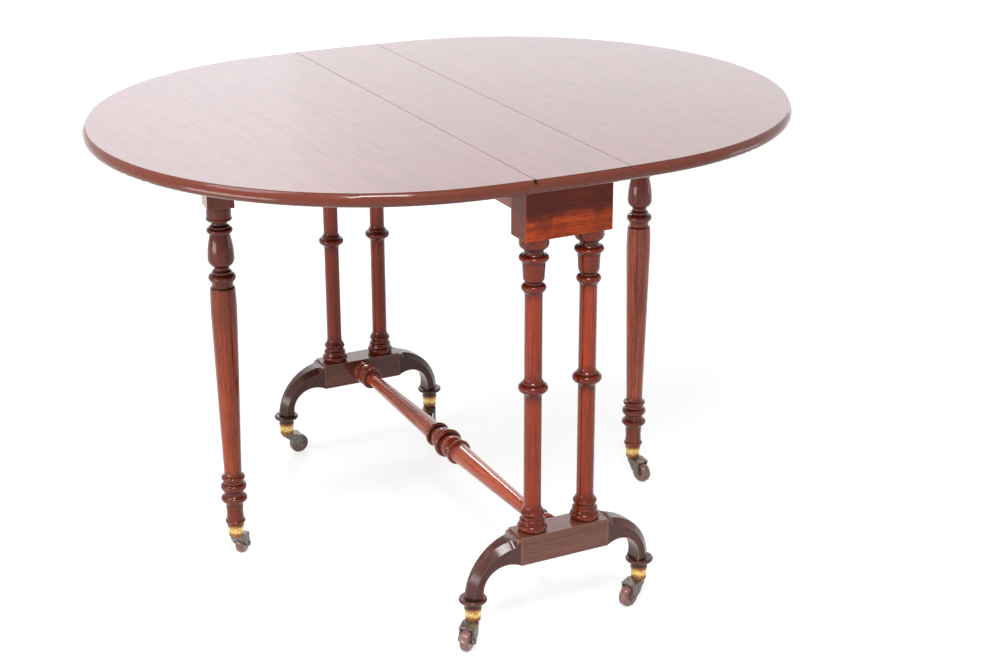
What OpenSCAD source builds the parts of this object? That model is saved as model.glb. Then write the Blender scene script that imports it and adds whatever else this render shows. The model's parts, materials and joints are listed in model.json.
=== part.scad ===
// Oval drop-leaf table on turned end supports, with two swinging gate legs.
// Millimetres. X runs across the leaves, Y along the folds, Z is up from the floor.

/* [Top] */
// Height from the floor to the top surface
table_h = 710; // [660:5:760]
// Length of the open oval, across the folds
open_l = 1092; // [1000:2:1180]
// Width of the open oval, along the folds
open_w = 876; // [862:2:896]
// Radius of the two long side arcs of the oval
side_r = 2000; // [1700:20:2600]
// Thickness of the boards
top_t = 20; // [18:0.5:24]
// Width of the fixed centre board at its top surface
centre_w = 147; // [144:1:156]
// Height of the small step under the top surface at the rim
step_h = 1.6; // [1:0.1:2.4]
// Distance of the step from the outermost edge
step_in = 5; // [4:0.5:6.5]
// Radius of the lower round of the rim
rim_low_r = 8; // [7:0.5:9]

/* [Rule joints and hinges] */
// Height of the square step at the top of the rule joint
fillet_h = 3; // [2:0.25:4]
// Height of the hinge pin above the underside of the boards
pin_rise = 2.4; // [2.3:0.1:3]
// Clearance between the hollow of the leaf and the round of the centre board
joint_gap = 0.6; // [0.4:0.1:1]
// Gap between the boards at the top surface
fold_gap = 0.6; // [0.5:0.1:1]
// Distance between neighbouring hinges on one fold
hinge_pitch = 262; // [220:2:300]
// Length of a hinge along the fold
hinge_l = 38; // [30:1:50]
// Width of the flap under the centre board
flap_fixed = 28; // [22:1:34]
// Width of the flap that crosses the joint to the leaf
flap_leaf = 44; // [36:1:56]
// Thickness of the flaps
flap_t = 1.6; // [1.2:0.1:1.8]
// Diameter of the hinge barrel
barrel_d = 4.4; // [4:0.1:4.6]
// Diameter of the hinge pin
hinge_pin_d = 2.4; // [2:0.1:2.8]
// Diameter of the shanks of the hinge screws
hinge_screw_d = 3.2; // [2.8:0.1:3.6]
// Distance of the outer hinge screws from the edge of their flap
hinge_screw_in = 6; // [5:0.5:8]

/* [Frame] */
// Overhang of the top past the faces of the end blocks
end_overhang = 42; // [38:0.5:48]
// Width of an end block
end_w = 136; // [132:1:142]
// Height of an end block
end_h = 79.5; // [70:0.5:90]
// Thickness of an end block
end_t = 44.5; // [42:0.5:48]
// Thickness of the rails
rail_t = 20; // [18:0.5:22]
// Height of the rails
rail_h = 50; // [46:1:60]
// Length of the stub tenons of the rails
tenon_l = 12; // [8:1:20]
// Diameter of the screws that hold the knuckle rails
screw_d = 4; // [3.5:0.25:5]
// Leg of the triangular glue blocks
glue_leg = 13; // [10:1:14]
// Length of the glue blocks
glue_l = 60; // [40:2:90]

/* [Gates] */
// Distance of the gate pivots from the middle of the frame, across it
pivot_x = 46.5; // [45:0.5:48]
// Distance of the gate pivots past the middle, along the frame
pivot_off = 4; // [0:0.5:10]
// Distance from a gate pivot to the axis of its leg
gate_arm = 312; // [300:1:318]
// Angle between the left gate and its closed place, as it stands
left_open = 82.4; // [76:0.2:94]
// Angle between the right gate and its closed place, as it stands
right_open = 91; // [76:0.2:94]
// Angle at which the shoulders of the knuckle meet and stop the gate
gate_stop = 95; // [94:1:110]
// Diameter of the gate pins
gate_pin_d = 6; // [5:0.25:7]
// Clearance round the knuckles
knuckle_gap = 0.5; // [0.3:0.05:0.8]
// Side of the square block at the head of a gate leg
leg_block = 41; // [38:0.5:42]
// Height of that block
leg_block_h = 104; // [90:1:120]
// Diameter of a gate leg where its shaft is thickest
leg_shaft_d = 40.2; // [36:0.2:41]
// Diameter of the necks above and below the vase of a gate leg
leg_neck_d = 23.4; // [20:0.2:26]
// Diameter of a gate leg where its shaft ends
leg_ankle_d = 27; // [25:0.5:29]
// Gap between the gates and the leaves over them
gate_gap = 0.3; // [0.2:0.05:0.6]

/* [Columns and stretcher] */
// Distance between the axes of the two columns at one end
column_pitch = 87.3; // [84:0.5:90]
// Diameter of the plain shaft of a column
column_d = 25.5; // [23:0.5:29]
// Diameter of the widest ring of a column
column_ring_d = 43; // [40:0.5:43.5]
// Diameter of the round tenons of the columns
column_tenon_d = 19; // [16:0.5:21]
// Depth of the round tenons of the columns
column_tenon_l = 22; // [16:1:28]
// Diameter of the stretcher where it is thinnest
stretcher_d = 21; // [18:0.5:25]
// Diameter of the stretcher next to the middle knop
stretcher_mid_d = 31.5; // [28:0.5:35]
// Diameter of the large ring at the middle of the stretcher
knop_d = 48.5; // [44:0.5:52]

/* [Foot blocks and feet] */
// Length of a foot block
block_l = 142.6; // [138:0.2:150]
// Height of a foot block
block_h = 43.6; // [40:0.2:48]
// Thickness of a foot block
block_t = 43; // [42:0.5:44.5]
// Height of the underside of a foot block above the floor
block_z = 119.8; // [112:0.2:128]
// Distance between the axes of the two feet at one end
foot_span = 280.4; // [272:0.4:290]
// Side of the square section of a foot at its ring
foot_t = 25; // [23:0.5:27]
// Depth of the chamfer along the outer edges of a foot
foot_chamfer = 8.5; // [6:0.5:10]
// Drop of a foot below the top of its block
foot_drop = 3; // [1:0.5:6]
// Diameter of the ring at the end of a foot
foot_ring_d = 42; // [40:0.5:46]

/* [Casters] */
// Diameter of a wheel
wheel_d = 33.5; // [30:0.5:35]
// Width of a wheel
wheel_w = 16; // [13:0.5:17]
// Distance of the axle behind the swivel axis
trail = 22; // [20:0.5:23]
// Diameter of an axle
axle_d = 4; // [3.5:0.25:5]
// Height of the upper edge of the brass cups above the floor
cup_top = 60.5; // [58:0.5:64]
// Height of a brass cup
cup_h = 20; // [18:0.5:22]
// Diameter of a cup at its upper edge
cup_d = 25.4; // [24.4:0.2:27]
// Diameter of a cup at its lower edge
cup_low_d = 22; // [20.6:0.2:23.4]
// Wall of a cup
cup_wall = 1.5; // [1.2:0.1:2]

/* [Hidden] */
$fn = 96;

// Names for the two sides and the two ends
LEFT = -1;
RIGHT = 1;
NEAR = -1;
FAR = 1;

// Small working values: clearance of a glued joint, of a running fit, and cutter overshoot
fit = 0.1;
run = 0.1;
over = 5;

// Colours
col_top = [0.52, 0.22, 0.13];
col_frame = [0.55, 0.21, 0.12];
col_plinth = [0.33, 0.15, 0.12];
col_inner = [0.45, 0.28, 0.18];
col_brass = [0.83, 0.62, 0.25];
col_iron = [0.25, 0.23, 0.21];
col_steel = [0.55, 0.54, 0.52];
col_wheel = [0.36, 0.17, 0.14];

// Oval of four arcs that run into each other: two long side arcs and two end arcs
half_l = open_l / 2;
half_w = open_w / 2;
end_r = (2 * side_r * half_w - half_l * half_l - half_w * half_w) / (2 * (side_r - half_l));
side_y = side_r - half_w;
end_x = half_l - end_r;
arc_angle = atan2(side_y, end_x);

// Heights
under_z = table_h - top_t;
end_z = under_z - end_h;
rail_z = under_z - rail_h;
block_top = block_z + block_h;
stretcher_z = block_z + block_h / 2;
cup_z = cup_top - cup_h;

// Rim moulding: the upper curve of the thumb mould ends at the step
thumb_h = top_t - step_h - rim_low_r;
thumb_r = round(50 * (step_in * step_in + thumb_h * thumb_h) / step_in) / 100;

// Rule joint
fold_x = centre_w / 2;
joint_r = top_t - fillet_h - pin_rise;
hollow_r = joint_r + joint_gap;

// Hinge recesses: the flaps lie just inside the underside of the boards
flap_z = 0.1;
recess_h = flap_z + flap_t;
swing_room = 1.1;
swing_recess_h = recess_h + swing_room;
knuckles = 5;
barrel_gap = 0.3;
hinge_screw_pitch = hinge_l / 3;
function hinge_screw_x(reach, k) = reach - hinge_screw_in - (k == 0 ? hinge_screw_d * 2.5 : 0);

// Frame
end_face = half_w - end_overhang;
end_inner = end_face - end_t;
end_mid = end_face - end_t / 2;
rail_gap = 0.6;
inner_face = pivot_x - rail_t / 2 - rail_gap;
tenon_t = rail_t / 2;
tenon_shoulder = 8;
tenon_h = rail_h - 2 * tenon_shoulder;
screw_bite = 13;
screw_l = rail_t + rail_gap + screw_bite;
screw_start = 50;
screw_pitch = 120;

// Gates
sector = (180 - gate_stop) / 2 - 0.5;
finger_h = rail_h / knuckles;
finger_gap = 0.3;
gate_top = under_z - gate_gap;
fly_tenon_l = 16;
fly_tenon_t = 8;
housing_gap = 1.5;

// Turned work: a column stands in the middle of the thickness of its blocks
column_x = column_pitch / 2;
column_y = end_mid;
foot_x = foot_span / 2;
block_end = block_l / 2;

// Foot: the outer arc ends upright at the ring, the inner arc first rises from the block
foot_ring_h = 6.5;
foot_ring_z = cup_top + 12.5;
arch_z = foot_ring_z + 1;
foot_out = foot_x + foot_t / 2;
foot_in = foot_x - foot_t / 2;
arch_run = foot_out - block_end;
arch_rise = block_top - foot_drop - arch_z;
arch_r = round(50 * (arch_run * arch_run + arch_rise * arch_rise) / arch_run) / 100;
arch_x = foot_out - arch_r;
under_bulge = 0.366;
under_run = (foot_in - block_end) / 2;
under_drop = (block_z - arch_z) / 2;
under_x = block_end + under_run - under_bulge * under_drop;
under_c = arch_z + under_drop - under_bulge * under_run;
under_r = round(100 * norm([under_run, under_drop]) * norm([1, under_bulge])) / 100;
foot_taper = round(100 * atan2((block_t - foot_t) / 2, arch_run)) / 100;
foot_end = foot_t / 2 - over * (block_t - foot_t) / 2 / arch_run;
stop_l = 15;
stop_angle = round(100 * asin((block_end + stop_l - arch_x) / arch_r)) / 100;
scoop_r = 12;
scoop_deep = 0.3;

// Casters, in the order near left, near right, far left, far right, gate left, gate right
toe_l = cup_h - 7;
function cup_in(z) = cup_low_d / 2 - cup_wall + (cup_d - cup_low_d) / 2 * (z - cup_z) / cup_h;
pintle_d = 7;
collar_d = 11;
collar_h = 1.6;
horn_gap = 0.2;
cheek_t = 3.4;
wheel_gap = 1;
hood_t = 2.2;
boss_r = 5;
crown_r = 9;
side_gap = 0.8;
slot_w = wheel_w + 2 * side_gap;
horn_w = slot_w + 2 * cheek_t;
rivet_h = 1.4;
cup_bead = 2.4;
caster_angle = [221, 196, 3, 240, 48, -74];

// Where each gate leg stands, as the table is shown
left_dir = 90 + left_open;
right_dir = -90 + right_open;
function gate_dir(side) = side == LEFT ? left_dir : right_dir;
function pivot(side) = [side * pivot_x, side * pivot_off];
function gate_leg_xy(side) = pivot(side) + gate_arm * [cos(gate_dir(side)), sin(gate_dir(side))];
function caster_xy(k) =
  k < 4 ? [(k % 2 == 0 ? LEFT : RIGHT) * foot_x, (k < 2 ? NEAR : FAR) * column_y]
        : gate_leg_xy(k == 4 ? LEFT : RIGHT);

// Pieces of a turned outline, drawn as radius against height

// Straight or tapered length
module taper(z0, r0, z1, r1) {
  polygon([[0, z0], [r0, z0], [r1, z1], [0, z1]]);
}

// Half-round ring
module bead(z, r, h) {
  translate([r - h / 2, z]) circle(d = h);
  translate([0, z - h / 2]) square([r - h / 2, h]);
}

// Swelling curve, from its widest place to its end
module swell(zw, rw, ze, re) {
  h = abs(ze - zw);
  s = rw - re;
  rad = (h * h + s * s) / (2 * s);
  low = min(zw, ze);
  intersection() {
    translate([rw - rad, zw]) circle(rad, $fn = 360);
    translate([0, low]) square([rw, h]);
  }
  translate([0, low]) square([re, h]);
}

// Hollow curve, from its narrowest place to its end
module hollow(zn, rn, ze, re) {
  h = abs(ze - zn);
  s = re - rn;
  rad = (h * h + s * s) / (2 * s);
  difference() {
    translate([0, min(zn, ze)]) square([re, h]);
    translate([rn + rad, zn]) circle(rad);
  }
}

// Turn the outlines, and nothing left of the axis
module turned() {
  rotate_extrude() intersection() {
    children();
    translate([0, -2 * table_h]) square([table_h, 4 * table_h]);
  }
}

// Section of a board with the moulded rim at radius r
module rim_section(r) {
  square([r - rim_low_r, top_t]);
  translate([0, rim_low_r]) square([r - step_in, top_t - rim_low_r]);
  intersection() {
    translate([r - rim_low_r, rim_low_r]) circle(rim_low_r);
    square([r, rim_low_r]);
  }
  intersection() {
    translate([r - thumb_r, rim_low_r]) circle(thumb_r);
    translate([r - rim_low_r, rim_low_r]) square([rim_low_r, thumb_h]);
  }
}

// The part of the oval between the two long side arcs
module side_arcs() {
  spread = 90 - arc_angle + 8;
  intersection_for (s = [-1, 1]) {
    rotate([0, 0, s * 90]) translate([-side_y, 0, 0]) rotate([0, 0, -spread])
      rotate_extrude(angle = 2 * spread, $fn = 720) rim_section(side_r);
  }
}

// Near half of one end of the oval: the long arc and the end arc start at the place where they meet
module half_end() {
  intersection() {
    union() {
      translate([end_x + end_r * cos(arc_angle), -end_r * sin(arc_angle), 0]) rotate([0, 0, -arc_angle]) {
        mirror([0, 1, 0]) translate([-side_r, 0, 0]) rotate_extrude(angle = 90 - arc_angle, $fn = 720)
          rim_section(side_r);
        translate([-end_r, 0, 0]) rotate_extrude(angle = arc_angle + 5, $fn = 360) rim_section(end_r);
      }
      translate([0, -half_w / 2, 0]) cube([end_x + end_r / 2, half_w, top_t]);
    }
    translate([0, -open_w, -over]) cube([open_l, open_w, top_t + 2 * over]);
  }
}

// Half of the cross-section of the centre board, with the round of the rule joint
module centre_section() {
  square([fold_x, top_t]);
  translate([fold_x, 0]) square([joint_r, pin_rise]);
  intersection() {
    translate([fold_x, pin_rise]) circle(joint_r);
    translate([fold_x, pin_rise]) square(joint_r);
  }
}

// Cross-section of a leaf, with the hollow of the rule joint
module leaf_section() {
  difference() {
    translate([fold_x + fold_gap, 0]) square([half_l, top_t]);
    translate([fold_x, pin_rise]) circle(hollow_r);
    translate([fold_x, -over]) square([hollow_r, pin_rise + over]);
  }
}

module along_fold(length) {
  rotate([90, 0, 0]) linear_extrude(length, center = true) children();
}

// Places of the hinges of one fold
module at_hinges() {
  for (k = [-1 : 1]) translate([fold_x, k * hinge_pitch, 0]) children();
}

// Recess in the underside of the centre board for one hinge
module fixed_recess() {
  translate([-flap_fixed, -hinge_l / 2, -over]) cube([flap_fixed, hinge_l, over + recess_h]);
  translate([-barrel_d, -hinge_l / 2 - fit, -over])
    cube([barrel_d + joint_r + over, hinge_l + 2 * fit, over + swing_recess_h]);
  translate([0, hinge_l / 2 + fit, pin_rise]) rotate([90, 0, 0])
    cylinder(d = barrel_d + 2 * barrel_gap, h = hinge_l + 2 * fit);
}

// Recess in the underside of a leaf for its flap
module leaf_recess() {
  translate([hollow_r - over, -hinge_l / 2, -over])
    cube([flap_leaf - hollow_r + over, hinge_l, over + recess_h]);
}

module top_centre() {
  color(col_top) translate([0, 0, under_z]) difference() {
    intersection() {
      side_arcs();
      along_fold(open_w + over) {
        centre_section();
        mirror([1, 0]) centre_section();
      }
    }
    for (side = [LEFT, RIGHT]) mirror([side == LEFT ? 1 : 0, 0, 0]) at_hinges() fixed_recess();
  }
}

module leaf(side) {
  color(col_top) translate([0, 0, under_z]) mirror([side == LEFT ? 1 : 0, 0, 0]) difference() {
    intersection() {
      union() {
        half_end();
        mirror([0, 1, 0]) half_end();
      }
      along_fold(open_w + over) leaf_section();
    }
    at_hinges() leaf_recess();
  }
}

module leaf_left() leaf(LEFT);
module leaf_right() leaf(RIGHT);

// Length of the barrel along the fold that belongs to knuckle k
module hinge_knuckle(k, d, gap) {
  pitch = hinge_l / knuckles;
  translate([0, -hinge_l / 2 + k * pitch - gap, pin_rise]) rotate([-90, 0, 0])
    cylinder(d = d, h = pitch + 2 * gap);
}

// One flap: reach is its width, own its first knuckle
module hinge_flap(reach, own) {
  difference() {
    union() {
      translate([0, -hinge_l / 2, flap_z]) cube([reach, hinge_l, flap_t]);
      for (k = [own : 2 : knuckles - 1]) hinge_knuckle(k, barrel_d, -fit / 2);
    }
    for (k = [1 - own : 2 : knuckles - 1]) {
      hinge_knuckle(k, barrel_d + 2 * barrel_gap, fit / 2);
      translate([-barrel_d, -hinge_l / 2 + k * hinge_l / knuckles - fit / 2, -over])
        cube([barrel_d, hinge_l / knuckles + fit, 2 * over]);
    }
    translate([0, hinge_l, pin_rise]) rotate([90, 0, 0]) cylinder(d = hinge_pin_d + 2 * run, h = 2 * hinge_l);
    for (k = [-1 : 1]) translate([hinge_screw_x(reach, k), k * hinge_screw_pitch, flap_z - fit])
      cylinder(d1 = 2 * hinge_screw_d + 2 * fit, d2 = 2 * hinge_screw_d - 2 * flap_t, h = flap_t + 2 * fit);
  }
}

module hinge_flaps_fixed() {
  color(col_brass) translate([0, 0, under_z])
    for (side = [LEFT, RIGHT]) mirror([side == LEFT ? 1 : 0, 0, 0])
      at_hinges() mirror([1, 0, 0]) hinge_flap(flap_fixed, 0);
}

module hinge_flaps_leaf(side) {
  color(col_brass) translate([0, 0, under_z]) mirror([side == LEFT ? 1 : 0, 0, 0])
    at_hinges() hinge_flap(flap_leaf, 1);
}

module hinge_flaps_leaf_left() hinge_flaps_leaf(LEFT);
module hinge_flaps_leaf_right() hinge_flaps_leaf(RIGHT);

module hinge_pins() {
  color(col_steel) translate([0, 0, under_z + pin_rise])
    for (side = [LEFT, RIGHT]) mirror([side == LEFT ? 1 : 0, 0, 0])
      at_hinges() rotate([90, 0, 0]) cylinder(d = hinge_pin_d, h = hinge_l, center = true);
}

// Solid block at each end, between the top and the two columns
module end_block(end) {
  color(col_frame) difference() {
    translate([-end_w / 2, end * end_mid - end_t / 2, end_z]) cube([end_w, end_t, end_h]);
    for (side = [LEFT, RIGHT]) {
      translate([side * column_x, end * column_y, end_z - over])
        cylinder(d = column_tenon_d + 2 * fit, h = column_tenon_l + over + 1);
      translate([side * (inner_face - rail_t / 2), end * end_inner, rail_z + rail_h / 2])
        cube([tenon_t + 2 * fit, 2 * tenon_l + 2, tenon_h + 2 * fit], center = true);
    }
  }
}

module end_block_near() end_block(NEAR);
module end_block_far() end_block(FAR);

// Long rail between the end blocks, cut away where the closed gate leg lies
module inner_rail(side) {
  reach = gate_arm + leg_block / 2 + 2 * housing_gap;
  start = gate_arm - leg_block / 2 - housing_gap;
  depth = leg_block / 2 + housing_gap;
  color(col_inner) difference() {
    union() {
      translate([side * (inner_face - rail_t / 2) - rail_t / 2, -end_inner, rail_z])
        cube([rail_t, 2 * end_inner, rail_h]);
      translate([side * (inner_face - rail_t / 2), 0, rail_z + rail_h / 2])
        cube([tenon_t, 2 * end_inner + 2 * tenon_l, tenon_h], center = true);
    }
    translate([side * pivot_x - (side == LEFT ? 0 : depth), 0, rail_z - over])
      translate([0, side * pivot_off - side * (start + reach) / 2 - (reach - start) / 2, 0])
        cube([depth, reach - start, rail_h + 2 * over]);
    for (k = [0 : 2]) screw_line(side, k) cylinder(d = screw_d + 2 * fit, h = 2 * screw_l, center = true);
  }
}

module inner_rail_left() inner_rail(LEFT);
module inner_rail_right() inner_rail(RIGHT);

// Screw k of a knuckle rail, on the outer face, pointing outwards along Z
module screw_line(side, k) {
  translate([side * (pivot_x + rail_t / 2), side * (pivot_off + screw_start + k * screw_pitch), rail_z + rail_h / 2])
    rotate([0, side * 90, 0]) children();
}

// Plan of a rail that ends in a knuckle at the origin and runs along +X
module rail_plan(length) {
  shoulder = rail_t / 2 / tan(sector);
  polygon([[0, 0], [shoulder, rail_t / 2], [length, rail_t / 2], [length, -rail_t / 2], [shoulder, -rail_t / 2]]);
}

// Rail of height h with its fingers: first is 0 or 1, gap is taken off each finger above and below
module knuckled_rail(length, h, first, gap) {
  clear_r = rail_t / 2 + knuckle_gap;
  difference() {
    union() {
      linear_extrude(h) difference() {
        rail_plan(length);
        circle(clear_r);
      }
      for (k = [first : 2 : knuckles - 1]) translate([0, 0, k * finger_h + gap])
        linear_extrude(finger_h - 2 * gap) {
          circle(d = rail_t);
          intersection() {
            rail_plan(length);
            circle(clear_r + 1);
          }
        }
    }
    translate([0, 0, -over]) cylinder(d = gate_pin_d + run, h = rail_h + 2 * over);
  }
}

// Half-length rail screwed to the inner rail, with the fixed fingers of the gate knuckle
module knuckle_rail(side) {
  length = end_inner - pivot_off;
  color(col_frame) difference() {
    rotate([0, 0, side == RIGHT ? 0 : 180]) {
      translate([pivot_x, pivot_off, rail_z]) rotate([0, 0, 90]) knuckled_rail(length, rail_h, 0, 0);
      translate([inner_face, pivot_off + rail_t, rail_z])
        cube([rail_gap + rail_t, length - rail_t, rail_h]);
    }
    for (k = [0 : 2]) screw_line(side, k) {
      cylinder(d = screw_d + 2 * fit, h = 4 * rail_t, center = true);
      translate([0, 0, -screw_d / 2 - fit]) cylinder(d1 = screw_d, d2 = 2 * screw_d + 4 * fit, h = screw_d / 2 + 2 * fit);
    }
  }
}

module knuckle_rail_left() knuckle_rail(LEFT);
module knuckle_rail_right() knuckle_rail(RIGHT);

module rail_screws() {
  color(col_steel) for (side = [LEFT, RIGHT]) for (k = [0 : 2]) screw_line(side, k) {
    translate([0, 0, -screw_l]) cylinder(d = screw_d, h = screw_l);
    translate([0, 0, -screw_d / 2]) cylinder(d1 = screw_d, d2 = 2 * screw_d, h = screw_d / 2);
  }
}

// Triangular blocks glued in the corners under the top
module glue_blocks() {
  color(col_inner) for (side = [LEFT, RIGHT]) for (end = [NEAR, FAR])
    translate([side * (inner_face - rail_t), end * end_inner / 2, under_z]) mirror([side == LEFT ? 1 : 0, 0, 0])
      rotate([90, 0, 0]) linear_extrude(glue_l, center = true)
        polygon([[0, 0], [-glue_leg, 0], [0, -glue_leg]]);
}

// Swinging rail, tenoned into the head of its leg
module fly_rail(side) {
  length = gate_arm - leg_block / 2;
  color(col_frame) translate([pivot(side)[0], pivot(side)[1], rail_z]) rotate([0, 0, gate_dir(side)]) {
    knuckled_rail(length, rail_h - gate_gap, 1, finger_gap);
    translate([length - 1, -fly_tenon_t / 2, (rail_h - tenon_h) / 2]) cube([fly_tenon_l + 1, fly_tenon_t, tenon_h]);
  }
}

module fly_rail_left() fly_rail(LEFT);
module fly_rail_right() fly_rail(RIGHT);

module gate_pins() {
  color(col_steel) for (side = [LEFT, RIGHT])
    translate([pivot(side)[0], pivot(side)[1], rail_z]) cylinder(d = gate_pin_d, h = rail_h);
}

// Wooden toe that fills a caster cup
module toe() {
  taper(cup_top - toe_l, cup_in(cup_top - toe_l) - fit, cup_top + 1, cup_in(cup_top) - fit);
}

// Upper members of a gate leg, from the underside of its head down to the shaft
module gate_leg_upper(neck_r) {
  taper(0, 18.5, -17, 18.9);
  bead(-19.5, 19.6, 6);
  hollow(-26, neck_r, -21, 17);
  hollow(-26, neck_r, -31, 15.5);
  taper(-31, 15.5, -34, 15.5);
  bead(-37.5, 19.8, 9);
  taper(-41, 15.5, -44, 14.9);
  swell(-82, 20.3, -43, 14.9);
  swell(-82, 20.3, -94, neck_r + 1.3);
  hollow(-97, neck_r, -93, neck_r + 1.8);
  hollow(-97, neck_r, -102, 15);
  taper(-102, 15, -106, 15.2);
  bead(-112, 20.9, 14);
  hollow(-124, 16, -117, 18);
  taper(-124, 16, -127, 16);
  bead(-130, 19.2, 7);
}

// Lower members of a gate leg, from the cup up to the shaft
module gate_leg_lower(ankle_r) {
  hollow(92, ankle_r - 0.1, 85, 15.5);
  bead(81.5, 18.6, 8);
  taper(73, 16, 79, 16);
  bead(66, 20.2, 14);
  taper(54, 15.2, 61, 15.2);
  hollow(57, 14.8, 50, 18.6);
  bead(46, 20.6, 10);
  hollow(32, ankle_r, 43, 17.5);
  taper(22, 13, 33, ankle_r + 0.2);
  taper(9, 13.8, 22, 13);
  bead(6, 15.8, 7);
}

// Turned part of a gate leg: z is the underside of its head, c the top of its cup.
// The members are drawn for a head of 41 and keep their proportion to it
module gate_leg_outline(z, c) {
  k = leg_block / 41;
  shaft_r = leg_shaft_d / 2;
  ankle_r = leg_ankle_d / 2;
  translate([0, z]) scale([k, k]) gate_leg_upper(leg_neck_d / 2 / k);
  swell(z - 168 * k, shaft_r, z - 130 * k, shaft_r - 0.9);
  taper(z - 168 * k, shaft_r, c + 87 * k, ankle_r);
  translate([0, c]) scale([k, k]) gate_leg_lower(ankle_r / k);
  taper(c, cup_d / 2, c + 4 * k, cup_d / 2 + 0.8);
  toe();
}

module gate_leg(side) {
  z = gate_top - leg_block_h;
  xy = gate_leg_xy(side);
  color(col_frame) translate([xy[0], xy[1], 0]) rotate([0, 0, gate_dir(side)]) difference() {
    union() {
      translate([-leg_block / 2, -leg_block / 2, z]) cube([leg_block, leg_block, leg_block_h]);
      turned() gate_leg_outline(z, cup_top);
    }
    translate([-leg_block / 2 - over, -fly_tenon_t / 2 - fit, rail_z + (rail_h - tenon_h) / 2 - fit])
      cube([fly_tenon_l + over + 1, fly_tenon_t + 2 * fit, tenon_h + 2 * fit]);
  }
}

module gate_leg_left() gate_leg(LEFT);
module gate_leg_right() gate_leg(RIGHT);

// Capital of a column, from the end block down to its shaft
module column_upper(shaft_r) {
  taper(0, 21.1, -9, 21.5);
  swell(-9, 21.5, -17, 15);
  taper(-16, 14.8, -21, 13.8);
  hollow(-21, 13.8, -27, 19);
  bead(-30, 21.5, 8);
  hollow(-38, 16.5, -32, 20);
  taper(-38, 16.6, -58, 15.5);
  swell(-58, 15.5, -65, shaft_r - 0.35);
  taper(-63, shaft_r - 0.15, -69, shaft_r - 0.35);
  bead(-73.5, 17.9, 11);
  hollow(-85, shaft_r, -78, shaft_r + 3);
}

// Ring half way up a column
module column_middle(shaft_r) {
  hollow(15, shaft_r, 9, shaft_r + 2.6);
  taper(9, shaft_r + 2.7, 5, shaft_r + 2.7);
  bead(0, 21.5, 13);
  hollow(-15, shaft_r, -5, shaft_r + 5.5);
}

// Base of a column, from the foot block up to its shaft
module column_lower(shaft_r) {
  hollow(42, shaft_r, 33, shaft_r + 3);
  taper(33, shaft_r + 3, 30, shaft_r + 3);
  bead(29, 17.8, 7);
  hollow(23.5, 15.8, 27, 17);
  hollow(23.5, 15.8, 19, 18);
  bead(17.5, 18.8, 5);
  taper(11, 18.6, 16, 17.4);
  bead(6.5, 22, 13);
  taper(0, 18.5, 3, 19.5);
}

// Outline of a column: t is the underside of the end block, b the top of the foot block.
// The members are drawn for a ring of 43 and keep their proportion to it
module column_outline(t, b) {
  k = column_ring_d / 43;
  shaft_r = column_d / 2;
  translate([0, t]) scale([k, k]) column_upper(shaft_r / k);
  taper(t - 85 * k, shaft_r, b + 40 * k, shaft_r);
  translate([0, (t + b) / 2]) scale([k, k]) column_middle(shaft_r / k);
  translate([0, b]) scale([k, k]) column_lower(shaft_r / k);
}

// The round tenons are the two ends of one core
module column(side, end) {
  color(col_frame) translate([side * column_x, end * column_y, 0]) {
    turned() column_outline(end_z, block_top);
    translate([0, 0, block_top - column_tenon_l])
      cylinder(d = column_tenon_d, h = end_z - block_top + 2 * column_tenon_l);
  }
}

module column_near_left() column(LEFT, NEAR);
module column_near_right() column(RIGHT, NEAR);
module column_far_left() column(LEFT, FAR);
module column_far_right() column(RIGHT, FAR);

// Block under the two columns, with a bored side for the stretcher
module foot_block(end) {
  color(col_plinth) difference() {
    translate([-block_end, end * column_y - block_t / 2, block_z]) cube([block_l, block_t, block_h]);
    for (side = [LEFT, RIGHT]) translate([side * column_x, end * column_y, block_top - column_tenon_l - 1])
      cylinder(d = column_tenon_d + 2 * fit, h = column_tenon_l + over + 1);
    translate([0, end * (column_y - block_t / 2), stretcher_z]) rotate([90, 0, 0])
      cylinder(d = column_tenon_d + 2 * fit, h = 2 * column_tenon_l + 2, center = true);
  }
}

module foot_block_near() foot_block(NEAR);
module foot_block_far() foot_block(FAR);

// Cutter for one outer chamfer of a foot, parallel to its tapered side, with a scooped stop short of the block
module chamfer_cutter() {
  mid = foot_chamfer / 2 + scoop_deep / sqrt(2) - scoop_r / sqrt(2);
  translate([block_end, -block_t / 2, arch_z]) rotate([0, 0, foot_taper]) translate([arch_x - block_end, 0, 0])
    rotate([90, 0, 0]) {
      rotate([0, 0, -5]) rotate_extrude(angle = 95 - stop_angle)
        polygon([[arch_r - foot_chamfer - over, over], [arch_r + over, over],
          [arch_r + over, -foot_chamfer - over]]);
      rotate([0, 0, 90 - stop_angle]) translate([arch_r - mid, 0, -mid]) rotate([0, -45, 0])
        cylinder(r = scoop_r, h = 4 * foot_chamfer, center = true);
    }
}

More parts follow.
